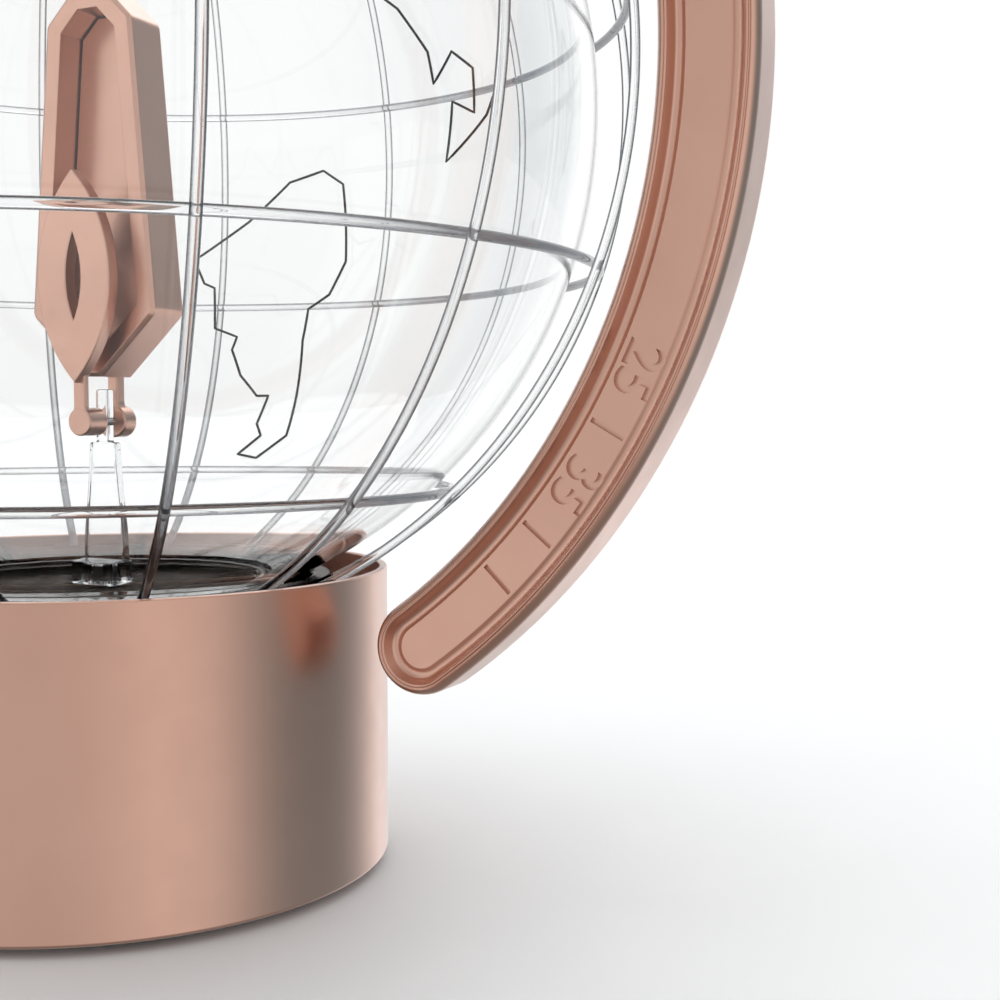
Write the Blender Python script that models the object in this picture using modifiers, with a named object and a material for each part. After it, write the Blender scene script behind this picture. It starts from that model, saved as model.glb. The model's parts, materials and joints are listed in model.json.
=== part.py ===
"""Clear globe ornament: a caged clear globe on a turned base, a meridian arm that swivels on the north pole,
and a small two-piece emblem on a clear pedestal inside the globe.

Metres, +Z up. The origin is the centre of the underside of the feet. The arm rests in the XZ plane and the
emblem faces -Y.
"""

import math

import bmesh
import bpy
from mathutils import Matrix, Vector

MM = 0.001
GAP = 0.3 * MM
RUNNING_CLEARANCE = 0.1 * MM

# Base
BASE_RADIUS = 57.6 * MM
BASE_WALL = 3.0 * MM
RIM_WALL = 1.6 * MM
RIM_Z = 60.0 * MM
BASE_BOTTOM_Z = 2.0 * MM
RECESS_DEPTH = 7.0 * MM
FLOOR_THICKNESS = 3.0 * MM
EDGE_BEVEL = 0.8 * MM
FLOOR_Z = RIM_Z - RECESS_DEPTH
DECK_RADIUS = 31.2 * MM
DECK_TOP_Z = FLOOR_Z + 2.9 * MM

# Underside
FOOT_HEIGHT = 3.0 * MM
FOOT_RADIUS = 6.0 * MM
FOOT_CIRCLE = 45.0 * MM
PLATE_THICKNESS = 4.0 * MM
PLATE_Z = FOOT_HEIGHT + GAP
BALLAST_RADIUS = 48.0 * MM
BALLAST_HEIGHT = 20.0 * MM
BALLAST_Z = PLATE_Z + PLATE_THICKNESS + GAP
SCREW_CIRCLE = 32.0 * MM
SCREW_RADIUS = 1.5 * MM
SCREW_HEAD_RADIUS = 2.8 * MM
BOLT_RADIUS = 1.95 * MM
BOLT_HOLE_RADIUS = 2.3 * MM
NUT_RADIUS = 3.8 * MM
NUT_POCKET_RADIUS = 4.6 * MM

# Globe and cage
CENTRE_Z = RIM_Z + 95.3 * MM
GLOBE_RADIUS = 100.0 * MM
GLOBE_DROP = 5.4 * MM
GLOBE_Z = CENTRE_Z - GLOBE_DROP
GLASS_THICKNESS = 2.0 * MM
MOUTH_LATITUDE = -69.5
TOP_HOLE_RADIUS = 6.0 * MM
CAGE_RADIUS = 109.0 * MM
ROD_RADIUS = 0.95 * MM
ROD_COUNT = 14
FIRST_ROD_LONGITUDE = -17.8
ROD_FOOT_LATITUDE = -64.5
ROD_TOP_LATITUDE = 84.0
PARALLEL_RADIUS = CAGE_RADIUS - 2 * ROD_RADIUS - GAP
PARALLEL_LATITUDES = tuple(-48.3 + 28.3 * k for k in range(5))

# Arm and its pivot
ARM_CENTRE_Z = CENTRE_Z - 3.5 * MM
ARM_INNER = 118.5 * MM
ARM_OUTER = 135.7 * MM
ARM_THICKNESS = 13.6 * MM
ARM_END_LATITUDE = -54.0
ARM_EDGE_ROUND = 1.6 * MM
POCKET_MARGIN = 3.4 * MM
POCKET_DEPTH = 1.9 * MM
BOSS_RADIUS = 7.5 * MM
BOSS_BOTTOM_Z = ARM_CENTRE_Z + ARM_INNER - 1.0 * MM
BOSS_TOP_Z = ARM_CENTRE_Z + ARM_OUTER + 1.0 * MM
HUB_RADIUS = CAGE_RADIUS * math.cos(math.radians(ROD_TOP_LATITUDE)) - 0.4 * MM
HUB_BOTTOM_Z = CENTRE_Z + 103.0 * MM
HUB_TOP_Z = HUB_BOTTOM_Z + 8.0 * MM
SPINDLE_RADIUS = 2.0 * MM
BUSH_RADIUS = 2.95 * MM
PIVOT_PIN_RADIUS = 1.5 * MM
FINIAL_RADIUS = 6.5 * MM

# Pedestal and emblem
PIN_Z = CENTRE_Z - 66.0 * MM
PIN_RADIUS = 0.7 * MM
POST_Y = 1.6 * MM
POST_HALF_DEPTH = 1.1 * MM
TAB_HALF_WIDTH = 1.5 * MM
SHOULDER_Z = PIN_Z - 4.2 * MM
TAB_TOP_Z = PIN_Z + 6.5 * MM
PEDESTAL_HOLE_DEPTH = 4.5 * MM
FOOT_BLOCK_HEIGHT = 4.8 * MM
FRONT_KNUCKLE = (-6.2 * MM, -0.7 * MM)
REAR_KNUCKLE = (4.0 * MM, 7.8 * MM)
FRONT_KNUCKLE_RADIUS = 2.8 * MM
REAR_KNUCKLE_RADIUS = 3.25 * MM
KNUCKLE_END_WALL = 0.9 * MM
FRAME_FRONT_Y = -2.0 * MM
FRAME_BACK_Y = 7.8 * MM
FRAME_HALF_WIDTH = 15.2 * MM
FRAME_TOP_HALF_WIDTH = 10.4 * MM
FRAME_CORNER_Z = CENTRE_Z - 44.6 * MM
FRAME_SHOULDER_Z = CENTRE_Z + 13.0 * MM
FRAME_TIP_Z = CENTRE_Z - 57.0 * MM
FRAME_TOP_Z = FRAME_SHOULDER_Z + 6.4 * MM
FRAME_BAND = 4.0 * MM
FRAME_TIP_HALF = 2.0 * MM
FRAME_NECK_HALF = 1.3 * MM
FRAME_NECK_BACK_Y = 6.5 * MM
FRAME_POCKET_DEPTH = 7.5 * MM
PETAL_FRONT_Y = -7.5 * MM
PETAL_THICKNESS = 3.0 * MM
PETAL_CENTRE_Z = CENTRE_Z - 37.5 * MM
PETAL_HALF_HEIGHT = 20.8 * MM
PETAL_HALF_WIDTH = 8.8 * MM
SLOT_HALF_HEIGHT = 8.5 * MM
SLOT_HALF_WIDTH = 1.8 * MM

# How finely round shapes are divided
BASE_STEPS = 40
GLOBE_STEPS = 36
SMALL_STEPS = 20

COLOURS = {
    "rose_gold": ((0.62, 0.40, 0.31), 0.34, 1.0),
    "clear_acrylic": ((0.92, 0.94, 0.95), 0.03, 0.0),
    "dark_gloss": ((0.035, 0.030, 0.028), 0.08, 0.0),
    "black_rubber": ((0.02, 0.02, 0.02), 0.80, 0.0),
    "cast_iron": ((0.10, 0.10, 0.11), 0.60, 1.0),
    "bright_steel": ((0.60, 0.60, 0.62), 0.25, 1.0),
    "white_nylon": ((0.80, 0.80, 0.78), 0.45, 0.0),
}


def clear_scene():
    """Empties the scene and makes the collections that the part and its cutters go in."""
    for obj in list(bpy.data.objects):
        bpy.data.objects.remove(obj, do_unlink=True)
    parts = bpy.data.collections.new("clear_globe_ornament")
    cutters = bpy.data.collections.new("cutters")
    bpy.context.scene.collection.children.link(parts)
    bpy.context.scene.collection.children.link(cutters)
    return parts, cutters


PARTS, CUTTERS = clear_scene()


def material(name):
    """The named Principled material, made once."""
    if name in bpy.data.materials:
        return bpy.data.materials[name]
    colour, roughness, metallic = COLOURS[name]
    made = bpy.data.materials.new(name)
    made.use_nodes = True
    shader = made.node_tree.nodes["Principled BSDF"]
    shader.inputs["Base Color"].default_value = (*colour, 1.0)
    shader.inputs["Roughness"].default_value = roughness
    shader.inputs["Metallic"].default_value = metallic
    if name == "clear_acrylic":
        shader.inputs["Transmission Weight"].default_value = 1.0
        shader.inputs["IOR"].default_value = 1.49
    return made


def add(name, mesh, finish=None):
    """Puts a mesh in the scene as a part, or as a hidden cutter when it has no finish."""
    obj = bpy.data.objects.new(name, mesh)
    if finish is None:
        obj.hide_render = True
        obj.display_type = "WIRE"
        CUTTERS.objects.link(obj)
        return obj
    obj.data.materials.append(material(finish))
    PARTS.objects.link(obj)
    return obj


def smooth(obj):
    obj.data.shade_smooth()
    obj.data.set_sharp_from_angle(angle=math.radians(35))


def from_bmesh(name, bm, finish=None):
    mesh = bpy.data.meshes.new(name)
    bm.to_mesh(mesh)
    bm.free()
    return add(name, mesh, finish)


def turned(name, profile, finish, steps=SMALL_STEPS, closed=True):
    """A turned piece from (radius, z) points that run down the outer side and, when closed, back up the bore."""
    mesh = bpy.data.meshes.new(name)
    points = [(radius, 0.0, z) for radius, z in profile]
    edges = [(i, i + 1) for i in range(len(points) - 1)]
    if closed:
        edges.append((len(points) - 1, 0))
    mesh.from_pydata(points, edges, [])
    obj = add(name, mesh, finish)
    screw = obj.modifiers.new("Screw", "SCREW")
    screw.axis = "Z"
    screw.steps = steps
    screw.render_steps = steps
    screw.use_merge_vertices = True
    screw.merge_threshold = 1e-5
    screw.use_smooth_shade = True
    return obj


def tube_profile(inner, outer, low, high, bevel=0.0):
    """The closed section of a plain ring, with bevelled outer corners."""
    if bevel == 0.0:
        return [(outer, high), (outer, low), (inner, low), (inner, high)]
    return [
        (outer - bevel, high),
        (outer, high - bevel),
        (outer, low + bevel),
        (outer - bevel, low),
        (inner, low),
        (inner, high),
    ]


def sphere_point(radius, latitude, centre_z):
    """(distance from the axis, z) of a point on a sphere."""
    angle = math.radians(latitude)
    return radius * math.cos(angle), centre_z + radius * math.sin(angle)


def cylinder(name, radius, start, end, steps=SMALL_STEPS, finish=None):
    """A cylinder between two points."""
    start, end = Vector(start), Vector(end)
    along = end - start
    bm = bmesh.new()
    bmesh.ops.create_cone(
        bm, cap_ends=True, segments=steps, radius1=radius, radius2=radius, depth=along.length
    )
    turn = along.to_track_quat("Z", "Y").to_matrix().to_4x4()
    bmesh.ops.transform(bm, matrix=Matrix.Translation((start + end) / 2) @ turn, verts=bm.verts)
    return from_bmesh(name, bm, finish)


def boolean(obj, other, operation="DIFFERENCE"):
    modifier = obj.modifiers.new("Boolean", "BOOLEAN")
    modifier.operation = operation
    modifier.object = other
    modifier.solver = "EXACT"
    return modifier


def plate(name, outline, front_y, back_y, finish=None, bevel=0.0):
    """A flat plate in the XZ plane, from (x, z) points, between two depths, with rounded edges."""
    curve = bpy.data.curves.new(name, "CURVE")
    curve.dimensions = "2D"
    curve.fill_mode = "BOTH"
    curve.extrude = abs(back_y - front_y) / 2 - bevel
    curve.bevel_depth = bevel
    curve.bevel_resolution = 0
    curve.offset = -bevel
    spline = curve.splines.new("POLY")
    spline.points.add(len(outline) - 1)
    for point, (x, z) in zip(spline.points, outline):
        point.co = (x, z, 0.0, 1.0)
    spline.use_cyclic_u = True
    drawn = bpy.data.objects.new(name + "_outline", curve)
    CUTTERS.objects.link(drawn)
    drawn.rotation_euler = (math.radians(90), 0.0, 0.0)
    drawn.location = (0.0, (front_y + back_y) / 2, 0.0)
    bpy.context.view_layer.update()
    graph = bpy.context.evaluated_depsgraph_get()
    mesh = bpy.data.meshes.new_from_object(drawn.evaluated_get(graph))
    mesh.transform(drawn.matrix_world)
    bpy.data.objects.remove(drawn)
    bm = bmesh.new()
    bm.from_mesh(mesh)
    bmesh.ops.remove_doubles(bm, verts=bm.verts, dist=1e-6)
    bmesh.ops.recalc_face_normals(bm, faces=bm.faces)
    bpy.data.meshes.remove(mesh)
    return from_bmesh(name, bm, finish)


def arc(radius, first, last, steps, centre_z=0.0, centre_x=0.0):
    """(x, z) points along an arc, angles in degrees from +X towards +Z."""
    points = []
    for i in range(steps + 1):
        angle = math.radians(first + (last - first) * i / steps)
        points.append((centre_x + radius * math.cos(angle), centre_z + radius * math.sin(angle)))
    return points


def band(inner, outer, first, last, steps):
    """The outline of a curved band round the arm's centre, with round ends, from one latitude to another."""
    middle, half = (inner + outer) / 2, (outer - inner) / 2
    ends = []
    for angle in (first, last):
        turn = math.radians(angle)
        ends.append((middle * math.cos(turn), ARM_CENTRE_Z + middle * math.sin(turn)))
    outline = arc(outer, first, last, steps, ARM_CENTRE_Z)
    outline += arc(half, last, last + 180, 6, ends[1][1], ends[1][0])[1:-1]
    outline += arc(inner, last, first, steps, ARM_CENTRE_Z)
    outline += arc(half, first + 180, first + 360, 6, ends[0][1], ends[0][0])[1:-1]
    return outline


def make_base():
    """The turned shell, with a recess in its top and open below, and the rings and disc in the recess."""
    inside = BASE_RADIUS - BASE_WALL
    recess = BASE_RADIUS - RIM_WALL
    turned(
        "base_shell",
        [
            (BASE_RADIUS - EDGE_BEVEL, RIM_Z),
            (BASE_RADIUS, RIM_Z - EDGE_BEVEL),
            (BASE_RADIUS, BASE_BOTTOM_Z + EDGE_BEVEL),
            (BASE_RADIUS - EDGE_BEVEL, BASE_BOTTOM_Z),
            (inside, BASE_BOTTOM_Z),
            (inside, FLOOR_Z - FLOOR_THICKNESS),
            (BOLT_HOLE_RADIUS, FLOOR_Z - FLOOR_THICKNESS),
            (BOLT_HOLE_RADIUS, FLOOR_Z),
            (recess, FLOOR_Z),
            (recess, RIM_Z),
        ],
        "rose_gold",
        BASE_STEPS,
    )
    turned(
        "deck_disc",
        tube_profile(BOLT_HOLE_RADIUS, DECK_RADIUS, FLOOR_Z + GAP, DECK_TOP_Z, 0.5 * MM),
        "dark_gloss",
        BASE_STEPS,
    )
    turned(
        "glide_ring",
        tube_profile(32.0 * MM, 36.5 * MM, FLOOR_Z + GAP, FLOOR_Z + 1.3 * MM),
        "white_nylon",
        BASE_STEPS,
    )
    make_cage_foot_ring()


def make_cage_foot_ring():
    """Its outer side slopes to meet the rods' ends square."""
    latitude = math.radians(ROD_FOOT_LATITUDE)
    along = Vector((math.sin(latitude), -math.cos(latitude)))
    face = Vector(sphere_point(CAGE_RADIUS, ROD_FOOT_LATITUDE, CENTRE_Z)) + along * GAP
    slope = along[1] / along[0]
    low, high = FLOOR_Z + GAP, FLOOR_Z + 5.4 * MM
    turned(
        "cage_foot_ring",
        [
            (face[0] - (high - face[1]) * slope, high),
            (face[0] - (low - face[1]) * slope, low),
            (42.0 * MM, low),
            (42.0 * MM, high - 1.4 * MM),
            (43.4 * MM, high),
        ],
        "dark_gloss",
        BASE_STEPS,
    )


def around(count, radius, first=0.0):
    """Points evenly spaced on a circle about the axis."""
    turns = [math.radians(first + 360.0 * i / count) for i in range(count)]
    return [(radius * math.cos(turn), radius * math.sin(turn)) for turn in turns]


def make_underside():
    """Ballast, bottom plate, feet, screws and the tie bolt that runs up into the pedestal."""
    plate_radius = BASE_RADIUS - BASE_WALL - GAP
    plate_top = PLATE_Z + PLATE_THICKNESS
    ballast_top = BALLAST_Z + BALLAST_HEIGHT
    pocket_top = PLATE_Z + 3.0 * MM
    base_plate = turned(
        "base_plate",
        [
            (plate_radius, plate_top),
            (plate_radius, PLATE_Z),
            (NUT_POCKET_RADIUS, PLATE_Z),
            (NUT_POCKET_RADIUS, pocket_top),
            (BOLT_HOLE_RADIUS, pocket_top),
            (BOLT_HOLE_RADIUS, plate_top),
        ],
        "cast_iron",
        BASE_STEPS,
    )
    ballast = turned(
        "ballast_weight",
        tube_profile(BOLT_HOLE_RADIUS, BALLAST_RADIUS, BALLAST_Z, ballast_top, 1.5 * MM),
        "cast_iron",
        BASE_STEPS,
    )
    head_top = PLATE_Z + 2.0 * MM
    screw_top = BALLAST_Z + 9.0 * MM
    for i, (x, y) in enumerate(around(4, SCREW_CIRCLE, 4.5)):
        cut = turned(
            f"cut_screw_{i + 1}",
            [
                (0.0, screw_top + GAP),
                (SCREW_RADIUS + GAP, screw_top + GAP),
                (SCREW_RADIUS + GAP, head_top + GAP),
                (SCREW_HEAD_RADIUS + GAP, head_top + GAP),
                (SCREW_HEAD_RADIUS + GAP, PLATE_Z - 1 * MM),
                (0.0, PLATE_Z - 1 * MM),
            ],
            None,
            12,
            closed=False,
        )
        cut.location = (x, y, 0.0)
        boolean(base_plate, cut)
        boolean(ballast, cut)
        screw = turned(
            f"plate_screw_{i + 1}",
            [
                (0.0, screw_top),
                (SCREW_RADIUS, screw_top - 0.4 * MM),
                (SCREW_RADIUS, head_top),
                (SCREW_HEAD_RADIUS, head_top),
                (SCREW_HEAD_RADIUS, PLATE_Z + 0.3 * MM),
                (0.0, PLATE_Z + 0.3 * MM),
            ],
            "bright_steel",
            12,
            closed=False,
        )
        screw.location = (x, y, 0.0)
    for i, (x, y) in enumerate(around(4, FOOT_CIRCLE, 45.0)):
        foot = turned(
            f"foot_{i + 1}",
            [
                (0.0, FOOT_HEIGHT),
                (FOOT_RADIUS, FOOT_HEIGHT),
                (FOOT_RADIUS, 0.6 * MM),
                (FOOT_RADIUS - 0.6 * MM, 0.0),
                (0.0, 0.0),
            ],
            "black_rubber",
            16,
            closed=False,
        )
        foot.location = (x, y, 0.0)
    nut_low, nut_high = PLATE_Z + 0.2 * MM, PLATE_Z + 2.7 * MM
    nut = cylinder("tie_nut", NUT_RADIUS, (0, 0, nut_low), (0, 0, nut_high), 6, "bright_steel")
    nut_hole = cylinder(
        "cut_nut", BOLT_RADIUS + 0.15 * MM, (0, 0, nut_low - 1 * MM), (0, 0, nut_high + 1 * MM), 16
    )
    boolean(nut, nut_hole)
    turned(
        "spacer_tube",
        tube_profile(2.4 * MM, 6.0 * MM, ballast_top + GAP, FLOOR_Z - FLOOR_THICKNESS - GAP),
        "bright_steel",
    )
    cylinder(
        "tie_bolt",
        BOLT_RADIUS,
        (0.0, 0.0, PLATE_Z + 0.4 * MM),
        (0.0, 0.0, DECK_TOP_Z + PEDESTAL_HOLE_DEPTH - 0.4 * MM),
        16,
        "bright_steel",
    )


def make_cage():
    """Meridian rods from the foot ring to the hub, and the parallels just inside them."""
    steps = 13
    for i in range(ROD_COUNT):
        turn = math.radians(FIRST_ROD_LONGITUDE - 360.0 * i / ROD_COUNT)
        curve = bpy.data.curves.new(f"cage_meridian_{i + 1:02d}", "CURVE")
        curve.dimensions = "3D"
        curve.bevel_depth = ROD_RADIUS
        curve.bevel_resolution = 1
        curve.use_fill_caps = True
        spline = curve.splines.new("POLY")
        spline.points.add(steps)
        for j, point in enumerate(spline.points):
            latitude = ROD_FOOT_LATITUDE + (ROD_TOP_LATITUDE - ROD_FOOT_LATITUDE) * j / steps
            radius, z = sphere_point(CAGE_RADIUS, latitude, CENTRE_Z)
            point.co = (radius * math.cos(turn), radius * math.sin(turn), z, 1.0)
        rod = bpy.data.objects.new(curve.name, curve)
        curve.materials.append(material("clear_acrylic"))
        PARTS.objects.link(rod)
    for i, latitude in enumerate(PARALLEL_LATITUDES):
        radius, z = sphere_point(PARALLEL_RADIUS, latitude, CENTRE_Z)
        section = [
            (radius + ROD_RADIUS * math.cos(turn), z - ROD_RADIUS * math.sin(turn))
            for turn in (math.radians(60.0 * k) for k in range(6))
        ]
        turned(f"cage_parallel_{i + 1}", section, "clear_acrylic", GLOBE_STEPS)


def make_globe():
    """The clear shell, its neck ring below, and its plug and pivot pin above."""
    top = math.degrees(math.acos(TOP_HOLE_RADIUS / GLOBE_RADIUS))
    steps = 15
    latitudes = [top + (MOUTH_LATITUDE - top) * i / steps for i in range(steps + 1)]
    inner = GLOBE_RADIUS - GLASS_THICKNESS
    profile = [sphere_point(GLOBE_RADIUS, latitude, GLOBE_Z) for latitude in latitudes]
    profile += [sphere_point(inner, latitude, GLOBE_Z) for latitude in reversed(latitudes)]
    turned("globe_glass", profile, "clear_acrylic", GLOBE_STEPS)
    low = FLOOR_Z + 1.6 * MM
    mouth_radius, mouth_z = sphere_point(GLOBE_RADIUS, MOUTH_LATITUDE, GLOBE_Z)
    seat = mouth_z - 0.25 * MM
    lip = mouth_radius - GLASS_THICKNESS + 0.2 * MM
    turned(
        "globe_neck_ring",
        [
            (mouth_radius + 1.5 * MM, seat),
            (mouth_radius + 1.5 * MM, low),
            (32.0 * MM, low),
            (32.0 * MM, seat + 1.5 * MM),
            (lip, seat + 1.5 * MM),
            (lip, seat),
        ],
        "clear_acrylic",
        BASE_STEPS,
    )
    glass_top = GLOBE_Z + GLOBE_RADIUS
    turned(
        "globe_top_plug",
        [
            (0.0, glass_top + 2.4 * MM),
            (6.4 * MM, glass_top + 2.0 * MM),
            (7.2 * MM, glass_top + 0.3 * MM),
            (5.6 * MM, glass_top + 0.2 * MM),
            (5.6 * MM, glass_top - 4.0 * MM),
            (0.0, glass_top - 4.0 * MM),
        ],
        "clear_acrylic",
        closed=False,
    )
    cylinder(
        "globe_pivot_pin",
        PIVOT_PIN_RADIUS,
        (0.0, 0.0, glass_top + 2.7 * MM),
        (0.0, 0.0, HUB_BOTTOM_Z + 3.0 * MM),
        16,
        "bright_steel",
    )


def make_pivot():
    """The hub where the rods meet, and the spindle, bearing pieces and finial that carry the arm."""
    pin_hole = PIVOT_PIN_RADIUS + RUNNING_CLEARANCE
    hole = SPINDLE_RADIUS + RUNNING_CLEARANCE
    round_edge = 1.0 * MM
    hub = turned(
        "cage_top_hub",
        [
            (0.0, HUB_TOP_Z),
            (HUB_RADIUS - round_edge, HUB_TOP_Z),
            (HUB_RADIUS, HUB_TOP_Z - round_edge),
            (HUB_RADIUS, HUB_BOTTOM_Z + round_edge),
            (HUB_RADIUS - round_edge, HUB_BOTTOM_Z),
            (0.0, HUB_BOTTOM_Z),
        ],
        "rose_gold",
        28,
        closed=False,
    )
    below = (0.0, 0.0, HUB_BOTTOM_Z - 1.0 * MM)
    boolean(hub, cylinder("cut_hub_pin", pin_hole, below, (0.0, 0.0, HUB_BOTTOM_Z + 3.4 * MM), 16))
    above = (0.0, 0.0, HUB_TOP_Z + 1.0 * MM)
    boolean(hub, cylinder("cut_hub_top", hole, above, (0.0, 0.0, HUB_TOP_Z - 3.4 * MM), 16))
    washer_z = BOSS_TOP_Z + GAP
    nut_z = washer_z + 1.3 * MM
    cylinder(
        "pivot_spindle",
        SPINDLE_RADIUS,
        (0.0, 0.0, HUB_TOP_Z - 3.1 * MM),
        (0.0, 0.0, nut_z + 5.0 * MM),
        16,
        "bright_steel",
    )
    turned(
        "spacer_collar",
        tube_profile(hole, 6.0 * MM, HUB_TOP_Z + GAP, BOSS_BOTTOM_Z - GAP, 0.5 * MM),
        "rose_gold",
    )
    turned(
        "arm_bush",
        tube_profile(hole, BUSH_RADIUS, BOSS_BOTTOM_Z + 0.1 * MM, BOSS_TOP_Z - 0.1 * MM),
        "white_nylon",
        16,
    )
    turned(
        "arm_washer",
        tube_profile(hole, 6.0 * MM, washer_z, washer_z + 1.0 * MM),
        "bright_steel",
    )
    ball = [
        sphere_point(FINIAL_RADIUS, 90.0 - 15.0 * i, nut_z + FINIAL_RADIUS - 0.6 * MM) for i in range(1, 10)
    ]
    crown = (0.0, nut_z + 2 * FINIAL_RADIUS - 0.6 * MM)
    turned(
        "finial_nut",
        [crown, *ball, (4.6 * MM, nut_z), (hole, nut_z), (hole, nut_z + 5.4 * MM), (0.0, nut_z + 5.4 * MM)],
        "rose_gold",
        closed=False,
    )


def make_arm():
    """A curved band with round free ends, a long shallow pocket in each face, and a boss at the pole."""
    half = ARM_THICKNESS / 2
    first, last = ARM_END_LATITUDE, 180 - ARM_END_LATITUDE
    outline = band(ARM_INNER, ARM_OUTER, first, last, 48)
    arm = plate("meridian_arm", outline, -half, half, "rose_gold", ARM_EDGE_ROUND)
    pocket = band(ARM_INNER + POCKET_MARGIN, ARM_OUTER - POCKET_MARGIN, first, last, 40)
    for i, side in enumerate((-1, 1)):
        floor, outside = side * (half - POCKET_DEPTH), side * (half + 1.0 * MM)
        boolean(arm, plate(f"cut_pocket_{i + 1}", pocket, min(floor, outside), max(floor, outside)))
    boss = cylinder("boss", BOSS_RADIUS, (0, 0, BOSS_BOTTOM_Z), (0, 0, BOSS_TOP_Z), 24)
    boolean(arm, boss, "UNION")
    bore = cylinder(
        "cut_arm_bore",
        BUSH_RADIUS + 0.05 * MM,
        (0, 0, BOSS_BOTTOM_Z - 1 * MM),
        (0, 0, BOSS_TOP_Z + 1 * MM),
        16,
    )
    boolean(arm, bore)
    smooth(arm)


def loft(name, sections, finish):
    """A closed body through rounded rectangles: (half width, half depth, y, corner radius, z), bottom first."""
    corner_steps = 3
    bm = bmesh.new()
    rings = []
    for half_x, half_y, centre_y, corner, z in sections:
        ring = []
        for quarter, (sx, sy) in enumerate(((1, 1), (-1, 1), (-1, -1), (1, -1))):
            for k in range(corner_steps + 1):
                turn = math.radians(90.0 * (quarter + k / corner_steps))
                x = sx * (half_x - corner) + corner * math.cos(turn)
                y = centre_y + sy * (half_y - corner) + corner * math.sin(turn)
                ring.append(bm.verts.new((x, y, z)))
        rings.append(ring)
    for low, high in zip(rings, rings[1:]):
        for k, vert in enumerate(low):
            after = (k + 1) % len(low)
            bm.faces.new((vert, low[after], high[after], high[k]))
    bm.faces.new(list(reversed(rings[0])))
    bm.faces.new(rings[-1])
    return from_bmesh(name, bm, finish)


def make_pedestal():
    """A thin clear plate on a block foot, and the tab on top that the hinge pin goes through."""
    foot_z = DECK_TOP_Z + GAP
    block_top = foot_z + FOOT_BLOCK_HEIGHT
    pedestal = loft(
        "pedestal",
        [
            (5.2 * MM, 3.4 * MM, 0.0, 0.6 * MM, foot_z),
            (5.2 * MM, 3.4 * MM, 0.0, 0.6 * MM, block_top),
            (5.0 * MM, POST_HALF_DEPTH, POST_Y, 0.5 * MM, block_top + 0.3 * MM),
            (4.8 * MM, POST_HALF_DEPTH, POST_Y, 0.5 * MM, SHOULDER_Z - 17.7 * MM),
            (4.1 * MM, POST_HALF_DEPTH, POST_Y, 0.5 * MM, SHOULDER_Z - 12.7 * MM),
            (3.2 * MM, POST_HALF_DEPTH, POST_Y, 0.5 * MM, SHOULDER_Z - 0.4 * MM),
            (TAB_HALF_WIDTH, POST_HALF_DEPTH, POST_Y, 0.5 * MM, SHOULDER_Z),
            (TAB_HALF_WIDTH, POST_HALF_DEPTH, POST_Y, 0.5 * MM, TAB_TOP_Z - 0.5 * MM),
            (1.1 * MM, 0.8 * MM, POST_Y, 0.4 * MM, TAB_TOP_Z),
        ],
        "clear_acrylic",
    )
    hole_top = DECK_TOP_Z + PEDESTAL_HOLE_DEPTH
    bolt_hole = cylinder("cut_pedestal_bolt", BOLT_HOLE_RADIUS, (0, 0, foot_z - 1 * MM), (0, 0, hole_top), 16)
    boolean(pedestal, bolt_hole)
    near, far = POST_Y - POST_HALF_DEPTH - 1 * MM, POST_Y + POST_HALF_DEPTH + 1 * MM
    boolean(pedestal, cylinder("cut_tab", PIN_RADIUS + RUNNING_CLEARANCE, (0, near, PIN_Z), (0, far, PIN_Z), 16))


def frame_outline(inset):
    """The emblem frame's six-sided outline, moved in by a constant distance, as (x, z) points."""
    corners = [
        (FRAME_TOP_HALF_WIDTH, FRAME_SHOULDER_Z),
        (FRAME_TOP_HALF_WIDTH - (FRAME_TOP_Z - FRAME_SHOULDER_Z), FRAME_TOP_Z),
        (FRAME_TOP_Z - FRAME_SHOULDER_Z - FRAME_TOP_HALF_WIDTH, FRAME_TOP_Z),
        (-FRAME_TOP_HALF_WIDTH, FRAME_SHOULDER_Z),
        (-FRAME_HALF_WIDTH, FRAME_CORNER_Z),
        (-FRAME_TIP_HALF, FRAME_TIP_Z),
        (FRAME_TIP_HALF, FRAME_TIP_Z),
        (FRAME_HALF_WIDTH, FRAME_CORNER_Z),
    ]
    if inset == 0.0:
        return corners
    moved = []
    for i, corner in enumerate(corners):
        here = Vector(corner)
        before = (here - Vector(corners[i - 1])).normalized()
        after = (Vector(corners[(i + 1) % len(corners)]) - here).normalized()
        inward = Vector((-before[1] - after[1], before[0] + after[0])).normalized()
        spread = inward.dot(Vector((-before[1], before[0])))
        moved.append(tuple(here + inward * inset / spread))
    return moved


def knuckle(name, inner, outer, radius):
    """The barrel that takes one end of the hinge pin, and the blind hole that runs in from its inner end."""
    side = 1 if outer > inner else -1
    barrel = cylinder(f"{name}_barrel", radius, (0, inner, PIN_Z), (0, outer, PIN_Z), 20)
    end = outer - side * KNUCKLE_END_WALL
    hole = cylinder(
        f"cut_{name}_hole", PIN_RADIUS + 0.05 * MM, (0, inner - side * 1 * MM, PIN_Z), (0, end, PIN_Z), 16
    )
    return barrel, hole


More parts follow.
